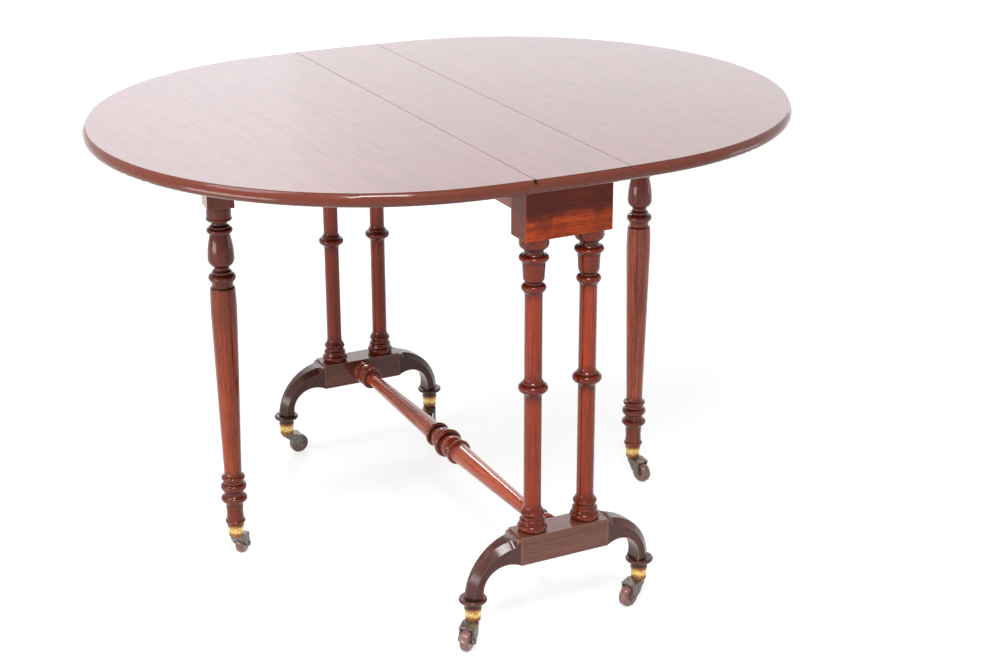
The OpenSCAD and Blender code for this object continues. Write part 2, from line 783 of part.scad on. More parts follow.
// Down-swept foot: a quarter arch with chamfered outer edges, its ring and its toe
module foot(side, end) {
  color(col_plinth) translate([0, end * column_y, 0]) mirror([side == LEFT ? 1 : 0, 0, 0]) {
    difference() {
      intersection() {
        translate([arch_x, 0, arch_z]) rotate([90, 0, 0]) rotate_extrude(angle = 90)
          translate([arch_r / 4, -block_t / 2 - over]) square([arch_r * 3 / 4, block_t + 2 * over]);
        linear_extrude(table_h) polygon([[block_end, -block_t / 2], [foot_out + over, -foot_end],
          [foot_out + over, foot_end], [block_end, block_t / 2]]);
      }
      chamfer_cutter();
      mirror([0, 1, 0]) chamfer_cutter();
      translate([under_x, 0, under_c]) rotate([90, 0, 0]) cylinder(r = under_r, h = 2 * block_t, center = true);
    }
    translate([foot_x, 0, 0]) turned() {
      bead(foot_ring_z, foot_ring_d / 2, foot_ring_h);
      hollow(cup_top + 3, cup_d / 2, foot_ring_z, (foot_ring_d - foot_ring_h) / 2);
      taper(cup_top, cup_d / 2, cup_top + 4, cup_d / 2);
      toe();
    }
  }
}

module foot_near_left() foot(LEFT, NEAR);
module foot_near_right() foot(RIGHT, NEAR);
module foot_far_left() foot(LEFT, FAR);
module foot_far_right() foot(RIGHT, FAR);

// Half of the knop in the middle of the stretcher
module stretcher_knop(thick_r) {
  bead(0, 24.25, 9);
  taper(0, 20.25, 8, 16.5);
  swell(19, 19.4, 4, 16);
  swell(19, 19.4, 31, 14.5);
  taper(30, 14.5, 36, 15.5);
  bead(39.5, 21, 8);
  hollow(54, thick_r, 41, thick_r + 2.5);
}

// Vase turning at one end of the stretcher, from the foot block inwards
module stretcher_vase(thin_r) {
  hollow(-52, thin_r + 0.2, -44, thin_r + 2.5);
  bead(-41, 18.5, 7);
  taper(-40, 13, -35, 13);
  swell(-19, 19, -36, 13);
  taper(-19, 19, -16, 17);
  bead(-12.5, 19.6, 7);
  taper(-9, 17, 0, 17);
  bead(-4.5, 18.8, 9);
}

// Half of the outline of the stretcher, from its middle to e, the face of the foot block.
// The members are drawn for a knop of 48.5 and keep their proportion to it
module stretcher_outline(e) {
  k = knop_d / 48.5;
  thin_r = stretcher_d / 2;
  thick_r = stretcher_mid_d / 2;
  scale([k, k]) stretcher_knop(thick_r / k);
  taper(54 * k, thick_r, e - 48 * k, thin_r);
  translate([0, e]) scale([k, k]) stretcher_vase(thin_r / k);
  taper(e - 1, column_tenon_d / 2, e + column_tenon_l, column_tenon_d / 2);
}

module stretcher() {
  color(col_frame) translate([0, 0, stretcher_z]) rotate([90, 0, 0]) turned() {
    stretcher_outline(column_y - block_t / 2);
    mirror([0, 1]) stretcher_outline(column_y - block_t / 2);
  }
}

// Put a caster piece under leg k, turned to the way its wheel trails
module at_caster(k) {
  translate([caster_xy(k)[0], caster_xy(k)[1], 0]) rotate([0, 0, caster_angle[k]]) children();
}

// Brass cup over the toe, bored for the pintle of the horn
module cup(k) {
  color(col_brass) at_caster(k) turned() difference() {
    union() {
      taper(cup_z, cup_low_d / 2, cup_top, cup_d / 2);
      bead(cup_top - cup_bead / 2, cup_d / 2 + 0.5, cup_bead);
      bead(cup_z + cup_bead / 2, cup_low_d / 2 + 0.5, cup_bead);
    }
    taper(cup_z + 2 * cup_wall, cup_in(cup_z + 2 * cup_wall), cup_top + over, cup_in(cup_top + over));
    translate([0, cup_z - over]) square([pintle_d / 2 + run, cup_h]);
  }
}

module cup_near_left() cup(0);
module cup_near_right() cup(1);
module cup_far_left() cup(2);
module cup_far_right() cup(3);
module cup_gate_left() cup(4);
module cup_gate_right() cup(5);

// Side view of the horn: two arms that run back from the swivel to the axle, and a hood
module horn_side() {
  axle_z = wheel_d / 2;
  hood_r = wheel_d / 2 + wheel_gap + hood_t;
  top = cup_z - horn_gap;
  polygon([[-crown_r - 1, top], [crown_r + 1, top], [trail, axle_z + hood_r - 0.1], [trail + 3.8, axle_z + 2.8],
    [trail - 3.8, axle_z - 2.8], [0, top - 10], [-crown_r - 1, top - 3]]);
  translate([trail, axle_z]) circle(boss_r);
  intersection() {
    translate([trail, axle_z]) circle(hood_r);
    polygon([[trail, axle_z], [trail + 6, axle_z + 40], [trail - 12, axle_z + 40]]);
  }
}

// Plan of the horn: a round crown under the cup that flares out to the cheeks
module horn_plan() {
  circle(crown_r);
  polygon([[0, -crown_r], [crown_r, -horn_w / 2], [trail + crown_r, -horn_w / 2],
    [trail + crown_r, horn_w / 2], [crown_r, horn_w / 2], [0, crown_r]]);
}

// Iron horn that swivels in the cup and carries the wheel between its cheeks
module horn(k) {
  color(col_iron) at_caster(k) difference() {
    union() {
      difference() {
        intersection() {
          rotate([90, 0, 0]) linear_extrude(horn_w + over, center = true) horn_side();
          linear_extrude(cup_top) horn_plan();
        }
        translate([trail, 0, wheel_d / 2]) rotate([90, 0, 0])
          cylinder(r = wheel_d / 2 + wheel_gap, h = slot_w, center = true);
      }
      translate([0, 0, cup_z - over]) cylinder(d = pintle_d, h = over + 2 * cup_wall + 2 * run);
      translate([0, 0, cup_z + 2 * cup_wall + run]) cylinder(d = collar_d, h = collar_h);
    }
    translate([trail, 0, wheel_d / 2]) rotate([90, 0, 0]) cylinder(d = axle_d + run, h = 2 * horn_w, center = true);
  }
}

module horn_near_left() horn(0);
module horn_near_right() horn(1);
module horn_far_left() horn(2);
module horn_far_right() horn(3);
module horn_gate_left() horn(4);
module horn_gate_right() horn(5);

// Axle with a rivet head outside each cheek
module axle(k) {
  color(col_steel) at_caster(k) translate([trail, 0, wheel_d / 2]) rotate([90, 0, 0]) {
    cylinder(d = axle_d, h = horn_w + 2 * rivet_h, center = true);
    for (s = [0, 1]) mirror([0, 0, s]) translate([0, 0, horn_w / 2]) cylinder(d = 1.8 * axle_d, h = rivet_h);
  }
}

module axle_near_left() axle(0);
module axle_near_right() axle(1);
module axle_far_left() axle(2);
module axle_far_right() axle(3);
module axle_gate_left() axle(4);
module axle_gate_right() axle(5);

// Wheel with a rounded tread and a raised hub
module wheel(k) {
  tread_r = 5;
  color(col_wheel) at_caster(k) translate([trail, 0, wheel_d / 2]) rotate([90, 0, 0]) turned() difference() {
    union() {
      translate([0, -wheel_w / 2 + 1]) square([wheel_d / 2 - tread_r, wheel_w - 2]);
      translate([0, -wheel_w / 2 + tread_r + 1]) square([wheel_d / 2, wheel_w - 2 * tread_r - 2]);
      for (s = [-1, 1]) translate([wheel_d / 2 - tread_r, s * (wheel_w / 2 - tread_r - 1)]) circle(tread_r);
      taper(-wheel_w / 2, 5.5, wheel_w / 2, 5.5);
    }
    translate([-over, -wheel_w]) square([over + axle_d / 2 + run, 2 * wheel_w]);
  }
}

module wheel_near_left() wheel(0);
module wheel_near_right() wheel(1);
module wheel_far_left() wheel(2);
module wheel_far_right() wheel(3);
module wheel_gate_left() wheel(4);
module wheel_gate_right() wheel(5);

top_centre();
leaf_left();
leaf_right();
hinge_flaps_fixed();
hinge_flaps_leaf_left();
hinge_flaps_leaf_right();
hinge_pins();
end_block_near();
end_block_far();
inner_rail_left();
inner_rail_right();
knuckle_rail_left();
knuckle_rail_right();
rail_screws();
glue_blocks();
fly_rail_left();
fly_rail_right();
gate_pins();
gate_leg_left();
gate_leg_right();
column_near_left();
column_near_right();
column_far_left();
column_far_right();
foot_block_near();
foot_block_far();
foot_near_left();
foot_near_right();
foot_far_left();
foot_far_right();
stretcher();
cup_near_left();
cup_near_right();
cup_far_left();
cup_far_right();
cup_gate_left();
cup_gate_right();
horn_near_left();
horn_near_right();
horn_far_left();
horn_far_right();
horn_gate_left();
horn_gate_right();
axle_near_left();
axle_near_right();
axle_far_left();
axle_far_right();
axle_gate_left();
axle_gate_right();
wheel_near_left();
wheel_near_right();
wheel_far_left();
wheel_far_right();
wheel_gate_left();
wheel_gate_right();
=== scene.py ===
import json
import math

import bpy
from mathutils import Matrix, Vector


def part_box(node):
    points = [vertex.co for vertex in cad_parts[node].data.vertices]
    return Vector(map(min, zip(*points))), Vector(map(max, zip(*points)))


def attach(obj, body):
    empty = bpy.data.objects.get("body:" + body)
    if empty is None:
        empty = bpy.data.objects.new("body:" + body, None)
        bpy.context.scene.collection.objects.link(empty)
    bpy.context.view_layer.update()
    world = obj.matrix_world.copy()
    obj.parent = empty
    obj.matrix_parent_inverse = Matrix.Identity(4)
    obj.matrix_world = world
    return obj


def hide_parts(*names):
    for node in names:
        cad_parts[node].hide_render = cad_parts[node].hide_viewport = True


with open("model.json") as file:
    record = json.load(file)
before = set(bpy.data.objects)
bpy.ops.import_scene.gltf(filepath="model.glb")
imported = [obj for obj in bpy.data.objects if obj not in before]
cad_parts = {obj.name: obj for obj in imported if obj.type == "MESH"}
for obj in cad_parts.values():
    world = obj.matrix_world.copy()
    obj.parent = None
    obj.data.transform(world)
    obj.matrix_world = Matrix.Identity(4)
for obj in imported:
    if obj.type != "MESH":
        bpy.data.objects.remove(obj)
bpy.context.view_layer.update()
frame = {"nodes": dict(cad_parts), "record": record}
nodes = frame["nodes"]
bodies = frame["record"]["behaviour"]["bodies"]
body_with = {node: body for body, members in bodies.items() for node in members}


# Foot blocks. One solid block of dark, polished mahogany under each pair of columns, with
# its arrises eased by hand and wear. The columns are tenoned into it from above, the feet
# are dowelled to its ends and the stretcher is tenoned into its inner face.
FOOT_BLOCK_ARRIS = 0.0008
RELIEF_DEPTH = 0.0002
# Near-black of dust in corners and seams, also used as painted shade in the hollows.
DIRT_AND_SHADE = (0.012, 0.005, 0.004)


def calculate(tree, operation, *values):
    """The result of a maths node. Each value is a number or another node's socket."""
    node = tree.nodes.new("ShaderNodeMath")
    node.operation = operation
    for socket, value in zip(node.inputs, values):
        if isinstance(value, bpy.types.NodeSocket):
            tree.links.new(value, socket)
        else:
            socket.default_value = value
    return node.outputs[0]


def ramp(tree, value, low, high, to_low=0.0, to_high=1.0, smooth=False):
    """A value between low and high, mapped to 0 and 1 or to the two results given."""
    node = tree.nodes.new("ShaderNodeMapRange")
    if smooth:
        node.interpolation_type = "SMOOTHSTEP"
    node.inputs["From Min"].default_value = low
    node.inputs["From Max"].default_value = high
    node.inputs["To Min"].default_value = to_low
    node.inputs["To Max"].default_value = to_high
    tree.links.new(value, node.inputs["Value"])
    return node.outputs["Result"]


def part_of(tree, vector, axis):
    """One of the three numbers of a vector."""
    node = tree.nodes.new("ShaderNodeSeparateXYZ")
    tree.links.new(vector, node.inputs[0])
    return node.outputs[axis]


def add_relief(tree, surface, height, strength):
    """Fine relief that is too shallow to model."""
    bump = tree.nodes.new("ShaderNodeBump")
    bump.inputs["Strength"].default_value = strength
    bump.inputs["Distance"].default_value = RELIEF_DEPTH
    tree.links.new(height, bump.inputs["Height"])
    tree.links.new(bump.outputs["Normal"], surface.inputs["Normal"])


def build_grain_group():
    """Figure, growth streaks, cross mottle and open pores of a board whose fibres run along Z."""
    tree = bpy.data.node_groups.new("mahogany_grain", "ShaderNodeTree")
    tree.interface.new_socket(name="Vector", in_out="INPUT", socket_type="NodeSocketVector")
    for name in ("Figure", "Streaks", "Mottle", "Pores", "Height"):
        tree.interface.new_socket(name=name, in_out="OUTPUT", socket_type="NodeSocketFloat")
    start = tree.nodes.new("NodeGroupInput")
    end = tree.nodes.new("NodeGroupOutput")

    def stretched_noise(across, along, detail, low, high, distortion=0.0):
        stretch = tree.nodes.new("ShaderNodeVectorMath")
        stretch.operation = "MULTIPLY"
        stretch.inputs[1].default_value = (across, across, along)
        tree.links.new(start.outputs["Vector"], stretch.inputs[0])
        noise = tree.nodes.new("ShaderNodeTexNoise")
        noise.inputs["Scale"].default_value = 1.0
        noise.inputs["Detail"].default_value = detail
        noise.inputs["Distortion"].default_value = distortion
        tree.links.new(stretch.outputs[0], noise.inputs["Vector"])
        return ramp(tree, noise.outputs["Fac"], low, high)

    marks = {
        "Figure": stretched_noise(48, 4.0, 3, 0.34, 0.66, 0.8),
        "Streaks": stretched_noise(400, 8.0, 4, 0.40, 0.62, 0.4),
        "Mottle": stretched_noise(34, 46, 3, 0.40, 0.66, 0.8),
        "Pores": stretched_noise(1300, 70, 1, 0.56, 0.70),
    }
    marks["Height"] = calculate(tree, "MULTIPLY_ADD", marks["Pores"], -1.0, marks["Streaks"])
    for name, mark in marks.items():
        tree.links.new(mark, end.inputs[name])
    return tree


def build_age_group():
    """Old polish and dust in the corners, with painted shade in the hollows, and rubbed edges, found from
    the shape itself.
    """
    tree = bpy.data.node_groups.new("age_and_shade_marks", "ShaderNodeTree")
    reach = tree.interface.new_socket(name="Reach", in_out="INPUT", socket_type="NodeSocketFloat")
    reach.default_value = 0.01
    for name in ("Corners", "Edges", "Patches"):
        tree.interface.new_socket(name=name, in_out="OUTPUT", socket_type="NodeSocketFloat")
    start = tree.nodes.new("NodeGroupInput")
    end = tree.nodes.new("NodeGroupOutput")
    # Corners: darker where the piece's own shape hems the surface in. This is painted shade as well as old
    # polish and dust.
    hollow = tree.nodes.new("ShaderNodeAmbientOcclusion")
    hollow.samples = 8
    hollow.only_local = True
    tree.links.new(start.outputs["Reach"], hollow.inputs["Distance"])
    tree.links.new(ramp(tree, hollow.outputs["AO"], 0.90, 0.55), end.inputs["Corners"])
    thin = tree.nodes.new("ShaderNodeAmbientOcclusion")
    thin.samples = 8
    thin.inside = True
    thin.only_local = True
    thin.inputs["Distance"].default_value = 0.0025
    tree.links.new(ramp(tree, thin.outputs["AO"], 0.95, 0.55), end.inputs["Edges"])
    place = tree.nodes.new("ShaderNodeTexCoord")
    cloud = tree.nodes.new("ShaderNodeTexNoise")
    cloud.inputs["Scale"].default_value = 38.0
    cloud.inputs["Detail"].default_value = 4.0
    tree.links.new(place.outputs["Object"], cloud.inputs["Vector"])
    tree.links.new(ramp(tree, cloud.outputs["Fac"], 0.35, 0.65), end.inputs["Patches"])
    return tree


grain_group = build_grain_group()
age_and_shade_group = build_age_group()


def polished_wood(
    name, fibres, pale, deep, dirt_and_shade, mottle=0.0, haze=0.12, coat=0.9, relief=0.12, wear=0.3, worn=None,
    end_stain=0.8, painted_overhang_shadow=None, folds=None, rim=None, painted_shade_bands=()
):
    """French-polished wood whose fibres run along the direction given."""
    material = bpy.data.materials.new(name)
    material.use_nodes = True
    tree = material.node_tree
    surface = tree.nodes["Principled BSDF"]
    place = tree.nodes.new("ShaderNodeTexCoord")
    turn = tree.nodes.new("ShaderNodeMapping")
    turn.inputs["Rotation"].default_value = Vector(fibres).rotation_difference(Vector((0, 0, 1))).to_euler()
    tree.links.new(place.outputs["Object"], turn.inputs["Vector"])
    grain = tree.nodes.new("ShaderNodeGroup")
    grain.node_tree = grain_group
    tree.links.new(turn.outputs["Vector"], grain.inputs["Vector"])
    age_and_shade = tree.nodes.new("ShaderNodeGroup")
    age_and_shade.node_tree = age_and_shade_group
    # A wider reach of the same mask: painted shade around collars and mouldings, together with old polish.
    old_polish_and_shade = tree.nodes.new("ShaderNodeGroup")
    old_polish_and_shade.node_tree = age_and_shade_group
    old_polish_and_shade.inputs["Reach"].default_value = 0.03

    def laid_over(tone, colour, amount, mask):
        mix = tree.nodes.new("ShaderNodeMix")
        mix.data_type = "RGBA"
        tree.links.new(calculate(tree, "MULTIPLY", mask, amount), mix.inputs["Factor"])
        for value, socket in ((tone, mix.inputs["A"]), (colour, mix.inputs["B"])):
            if isinstance(value, tuple):
                socket.default_value = (*value, 1)
            else:
                tree.links.new(value, socket)
        return mix.outputs["Result"]

    def darker(share):
        return tuple(share * c for c in deep)

    across = tree.nodes.new("ShaderNodeVectorMath")
    across.operation = "DOT_PRODUCT"
    across.inputs[1].default_value = Vector(fibres).normalized()
    tree.links.new(place.outputs["Normal"], across.inputs[0])
    end_grain = calculate(tree, "ABSOLUTE", across.outputs["Value"])
    middle = tuple((a + b) / 2 for a, b in zip(pale, deep))
    tone = laid_over(pale, middle, 0.85, grain.outputs["Figure"])
    tone = laid_over(tone, deep, 0.5, grain.outputs["Streaks"])
    tone = laid_over(tone, darker(0.8), end_stain, end_grain)
    if mottle:
        tone = laid_over(tone, darker(0.5), mottle, grain.outputs["Mottle"])
    # Bands of painted shade along the fibres, darker over turned collars, rings and vases.
    for low, high in painted_shade_bands:
        along = part_of(tree, turn.outputs["Vector"], "Z")
        from_middle = calculate(tree, "ABSOLUTE", calculate(tree, "SUBTRACT", along, (low + high) / 2))
        half = (high - low) / 2
        painted_shade = ramp(tree, from_middle, half + 0.016, half - 0.002, smooth=True)
        tone = laid_over(tone, deep, 0.62, painted_shade)
    # Painted shadow of the overhanging top: darker above a wavy height.
    if painted_overhang_shadow:
        height = part_of(tree, place.outputs["Object"], "Z")
        wavy_height = calculate(tree, "MULTIPLY_ADD", grain.outputs["Mottle"], 0.010, height)
        tone = laid_over(tone, deep, 0.72, ramp(tree, wavy_height, *painted_overhang_shadow, smooth=True))
    if rim:
        level = calculate(tree, "ABSOLUTE", part_of(tree, place.outputs["Normal"], "Z"))
        tone = laid_over(tone, rim, 0.6, ramp(tree, level, 0.985, 0.80, smooth=True))
    tone = laid_over(tone, darker(0.25), 0.5, grain.outputs["Pores"])
    # Darker in hollows and corners: painted shade there, together with old polish and dust.
    tone = laid_over(tone, darker(0.45), 0.8 * dirt_and_shade, old_polish_and_shade.outputs["Corners"])
    tone = laid_over(tone, DIRT_AND_SHADE, dirt_and_shade, age_and_shade.outputs["Corners"])
    tone = laid_over(tone, worn or tuple(1.6 * c for c in pale), wear, age_and_shade.outputs["Edges"])
    surface.inputs["Coat Weight"].default_value = coat
    if folds:
        seam = tree.nodes.new("ShaderNodeGroup")
        seam.node_tree = folds
        tone = laid_over(tone, DIRT_AND_SHADE, 0.9, seam.outputs["Seam"])
        kept = calculate(tree, "MULTIPLY_ADD", seam.outputs["Seam"], -0.75 * coat, coat)
        tree.links.new(kept, surface.inputs["Coat Weight"])
    tree.links.new(tone, surface.inputs["Base Color"])
    tree.links.new(ramp(tree, age_and_shade.outputs["Patches"], 0.0, 1.0, 0.36, 0.40), surface.inputs["Roughness"])
    add_relief(tree, surface, grain.outputs["Height"], relief)
    surface.inputs["Specular IOR Level"].default_value = 0.05 if coat else 0.3
    surface.inputs["Coat IOR"].default_value = 1.38
    surface.inputs["Coat Roughness"].default_value = haze
    return material


def finished(node, material, arris):
    """A clean copy of a CAD piece with eased arrises, shown in place of the CAD piece."""
    bpy.ops.object.select_all(action="DESELECT")
    piece = bpy.data.objects.new(node + "_finished", nodes[node].data.copy())
    bpy.context.collection.objects.link(piece)
    bpy.context.view_layer.objects.active = piece
    piece.select_set(True)
    piece.data.materials.clear()
    piece.data.materials.append(material)
    bpy.ops.object.mode_set(mode="EDIT")
    bpy.ops.mesh.select_all(action="SELECT")
    bpy.ops.mesh.remove_doubles(threshold=0.000002)
    bpy.ops.mesh.dissolve_limited(angle_limit=math.radians(0.05))
    bpy.ops.object.mode_set(mode="OBJECT")
    ease = piece.modifiers.new("eased_arrises", "BEVEL")
    ease.width = arris
    ease.segments = 3
    ease.limit_method = "ANGLE"
    ease.angle_limit = math.radians(50)
    bpy.ops.object.modifier_apply(modifier=ease.name)
    bpy.ops.object.shade_smooth_by_angle(angle=math.radians(32))
    flat_faces = piece.modifiers.new("true_flats", "WEIGHTED_NORMAL")
    flat_faces.keep_sharp = True
    bpy.ops.object.modifier_apply(modifier=flat_faces.name)
    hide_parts(node)
    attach(piece, body_with[node])


foot_block_wood = polished_wood(
    "dark_mahogany_block", (1, 0, 0), pale=(0.285, 0.100, 0.062), deep=(0.085, 0.026, 0.020),
    dirt_and_shade=0.6, coat=1.0, wear=0.45, worn=(0.42, 0.17, 0.11), end_stain=0.4
)
for node in ("foot_block_near", "foot_block_far"):
    finished(node, foot_block_wood, FOOT_BLOCK_ARRIS)


# Feet. Four down-swept feet sawn from thick dark mahogany, with chamfered outer edges that
# stop in a scoop at the block, and a turned ring above the toe that the caster's cup holds.
FOOT_FIBRES = {"left": (-1, 0, -1), "right": (1, 0, -1)}


def polish(node, material):
    """Gives a CAD piece its finish."""
    for slot in nodes[node].material_slots:
        slot.material = material


for side, fibres in FOOT_FIBRES.items():
    foot_wood = polished_wood(
        "dark_mahogany_foot_" + side, fibres, pale=(0.130, 0.042, 0.032), deep=(0.040, 0.014, 0.012),
        dirt_and_shade=0.6, haze=0.16, coat=0.85, wear=0.9, worn=(0.40, 0.12, 0.055), end_stain=0.3
    )
    for end in ("near", "far"):
        polish("foot_{}_{}".format(end, side), foot_wood)


# Columns. Four turned mahogany columns, two at each end, with a collar, a long plain shaft,
# a ring half way and a moulded base. Turned between centres, their round tenons are glued.
# Painted shade over the base mouldings, the middle ring and the collar under the end block.
COLUMN_PAINTED_SHADE = ((0.155, 0.200), (0.374, 0.400), (0.530, 0.620))
column_wood = polished_wood(
    "mahogany_column", (0, 0, 1), pale=(0.43, 0.047, 0.007), deep=(0.12, 0.010, 0.002),
    dirt_and_shade=0.9, haze=0.08, coat=0.85, painted_shade_bands=COLUMN_PAINTED_SHADE
)
for end in ("near", "far"):
    for side in ("left", "right"):
        polish("column_{}_{}".format(end, side), column_wood)


# End blocks. A thick block between the top and each pair of columns, faced with figured
# mahogany whose mottle lies across the grain. Its upper part is darkened with painted shadow
# of the overhanging top, above a bright lower edge.
END_BLOCK_ARRIS = 0.0008
# Heights across which the painted shadow of the top fades out downwards.
OVERHANG_SHADOW_HEIGHTS = (0.632, 0.656)
end_block_wood = polished_wood(
    "mahogany_end_block", (1, 0, 0), pale=(0.72, 0.088, 0.010), deep=(0.11, 0.010, 0.002),
    dirt_and_shade=0.5, mottle=0.35, coat=0.45, end_stain=0.7, painted_overhang_shadow=OVERHANG_SHADOW_HEIGHTS
)
for node in ("end_block_near", "end_block_far"):
    finished(node, end_block_wood, END_BLOCK_ARRIS)


# Stretcher. One turned rail low down between the foot blocks, with a large knop in the middle
# and vase turnings at both ends. Its round tenons are glued into the blocks.
# Painted shade over the two end vases and the knop.
STRETCHER_PAINTED_SHADE = ((-0.350, -0.312), (-0.048, 0.048), (0.312, 0.350))
stretcher_wood = polished_wood(
    "mahogany_stretcher", (0, 1, 0), pale=(0.82, 0.150, 0.055), deep=(0.20, 0.022, 0.006),
    dirt_and_shade=0.9, haze=0.08, painted_shade_bands=STRETCHER_PAINTED_SHADE
)
polish("stretcher", stretcher_wood)


# Inner rails and glue blocks. Plain sawn hardwood, left unpolished because nobody sees it.
# The rails are tenoned into the end blocks, the glue blocks are rubbed in with hot glue.
SAWN_ARRIS = 0.0005
inner_wood = polished_wood(
    "plain_hardwood", (0, 1, 0), pale=(0.30, 0.17, 0.09), deep=(0.17, 0.09, 0.05), dirt_and_shade=0.5, coat=0.0
)
for node in ("inner_rail_left", "inner_rail_right", "glue_blocks"):
    finished(node, inner_wood, SAWN_ARRIS)


# Knuckle rails and fly rails. Each gate hangs on a wooden knuckle of five fingers: two belong
# to the fly rail that swings and three to the short rail screwed to the frame.
RAIL_ARRIS = 0.0004
RAIL_FIBRES = {"knuckle_rail": ("mahogany_rail", (0, 1, 0)), "fly_rail": ("mahogany_fly_rail", (1, 0, 0))}
for rail, (wood_name, fibres) in RAIL_FIBRES.items():
    rail_wood = polished_wood(
        wood_name, fibres, pale=(0.30, 0.062, 0.024), deep=(0.15, 0.028, 0.012), dirt_and_shade=0.6
    )
    for side in ("left", "right"):
        finished("{}_{}".format(rail, side), rail_wood, RAIL_ARRIS)


# Gate pins, rail screws and hinge pins. Drawn steel wire and turned screws, gone dull and
# brown where they aren't rubbed. The pins are driven in and the screws hold the short rails.
def worn_metal(name, bright, dull, metallic, smooth, rough, reach=0.004, band=None):
    """Bare metal with tarnish in its corners, in drifting patches and outside a rubbed band of heights."""
    material = bpy.data.materials.new(name)
    material.use_nodes = True
    tree = material.node_tree
    surface = tree.nodes["Principled BSDF"]
    age_and_shade = tree.nodes.new("ShaderNodeGroup")
    age_and_shade.node_tree = age_and_shade_group
    age_and_shade.inputs["Reach"].default_value = reach
    place = tree.nodes.new("ShaderNodeTexCoord")
    fine = tree.nodes.new("ShaderNodeTexNoise")
    fine.inputs["Scale"].default_value = 320.0
    fine.inputs["Detail"].default_value = 5.0
    tree.links.new(place.outputs["Object"], fine.inputs["Vector"])
    spots = ramp(tree, fine.outputs["Fac"], 0.44, 0.76)
    tarnish = calculate(tree, "MAXIMUM", age_and_shade.outputs["Corners"], spots)
    if band:
        middle, half = band
        height = part_of(tree, place.outputs["Object"], "Z")
        distance = calculate(tree, "ABSOLUTE", calculate(tree, "SUBTRACT", height, middle))
        ragged = calculate(tree, "MULTIPLY_ADD", fine.outputs["Fac"], 0.012, distance)
        patina = ramp(tree, ragged, half + 0.003, half + 0.011)
        tarnish = calculate(tree, "MAXIMUM", tarnish, patina)
    mix = tree.nodes.new("ShaderNodeMix")
    mix.data_type = "RGBA"
    mix.inputs["A"].default_value = (*bright, 1)
    mix.inputs["B"].default_value = (*dull, 1)
    tree.links.new(tarnish, mix.inputs["Factor"])
    tree.links.new(mix.outputs["Result"], surface.inputs["Base Color"])
    tree.links.new(ramp(tree, tarnish, 0.0, 1.0, smooth, rough), surface.inputs["Roughness"])
    add_relief(tree, surface, fine.outputs["Fac"], 0.08)
    surface.inputs["Metallic"].default_value = metallic
    return material


steel = worn_metal("old_steel", (0.42, 0.40, 0.37), (0.10, 0.07, 0.05), 1.0, 0.30, 0.6)
for node in ("gate_pins", "rail_screws", "hinge_pins"):
    polish(node, steel)


# Gate legs. Two turned legs with square heads that the fly rails are tenoned into: a vase
# and rings above, a long tapered shaft, and rings again above the caster. The right one is
# given a paler copy of the wood, painted light that brightens it.
# Painted shade over the rings above the caster. The upper band is the top's shadow, painted over the head
# and vase.
LEG_FOOT_PAINTED_SHADE = (0.050, 0.145)
gate_leg_wood = polished_wood(
    "mahogany_gate_leg", (0, 0, 1), pale=(0.44, 0.068, 0.014), deep=(0.10, 0.011, 0.004),
    dirt_and_shade=0.9, haze=0.08, coat=0.85, painted_shade_bands=(LEG_FOOT_PAINTED_SHADE, (0.462, 0.700))
)
# Painted light: a paler copy of the gate-leg wood, so that the right leg reads brighter than the left.
lit_gate_leg_wood = polished_wood(
    "painted_light_mahogany_gate_leg", (0, 0, 1), pale=(0.72, 0.150, 0.068), deep=(0.13, 0.018, 0.009),
    dirt_and_shade=0.9, haze=0.08, painted_shade_bands=(LEG_FOOT_PAINTED_SHADE, (0.470, 0.700))
)
polish("gate_leg_left", gate_leg_wood)
polish("gate_leg_right", lit_gate_leg_wood)


# Centre board and leaves. Three solid mahogany boards with their grain along the folds, a
# thumb-moulded rim with a small step, and a deep French polish that mirrors the light.
FOLD_X = 0.0735
TOP_ARRIS = 0.0004


def build_fold_group():
    """Dirt in the seams of the two folds, and a chipped corner where the left one meets the near rim."""
    tree = bpy.data.node_groups.new("fold_seams", "ShaderNodeTree")
    tree.interface.new_socket(name="Seam", in_out="OUTPUT", socket_type="NodeSocketFloat")
    end = tree.nodes.new("NodeGroupOutput")
    place = tree.nodes.new("ShaderNodeTexCoord")
    x, y, z = (part_of(tree, place.outputs["Object"], axis) for axis in "XYZ")
    broken = tree.nodes.new("ShaderNodeTexNoise")
    broken.inputs["Scale"].default_value = 45.0
    tree.links.new(place.outputs["Object"], broken.inputs["Vector"])
    width = calculate(tree, "MULTIPLY", broken.outputs["Fac"], 0.0009)
    off_fold = calculate(tree, "SUBTRACT", calculate(tree, "ABSOLUTE", x), FOLD_X)
    off_line = calculate(tree, "SUBTRACT", calculate(tree, "ABSOLUTE", off_fold), width)
    line = ramp(tree, off_line, 0.0003, -0.0002)
    seam = calculate(tree, "MULTIPLY", line, ramp(tree, z, 0.7075, 0.7085))
    off_left_fold = calculate(tree, "ABSOLUTE", calculate(tree, "ADD", x, FOLD_X))
    chip_width = ramp(tree, off_left_fold, 0.0026, 0.0018)
    chip = calculate(tree, "MULTIPLY", chip_width, ramp(tree, y, -0.424, -0.430))
    chip = calculate(tree, "MULTIPLY", chip, ramp(tree, z, 0.7035, 0.7045))
    tree.links.new(calculate(tree, "MAXIMUM", seam, chip), end.inputs["Seam"])
    return tree


top_wood = polished_wood(
    "mahogany_top", (0, 1, 0), pale=(0.22, 0.050, 0.028), deep=(0.085, 0.018, 0.012),
    dirt_and_shade=0.4, haze=0.12, coat=1.0, relief=0.03, wear=0.15, end_stain=0.35,
    folds=build_fold_group(), rim=(0.19, 0.032, 0.012)
)
for node in ("top_centre", "leaf_left", "leaf_right"):
    finished(node, top_wood, TOP_ARRIS)


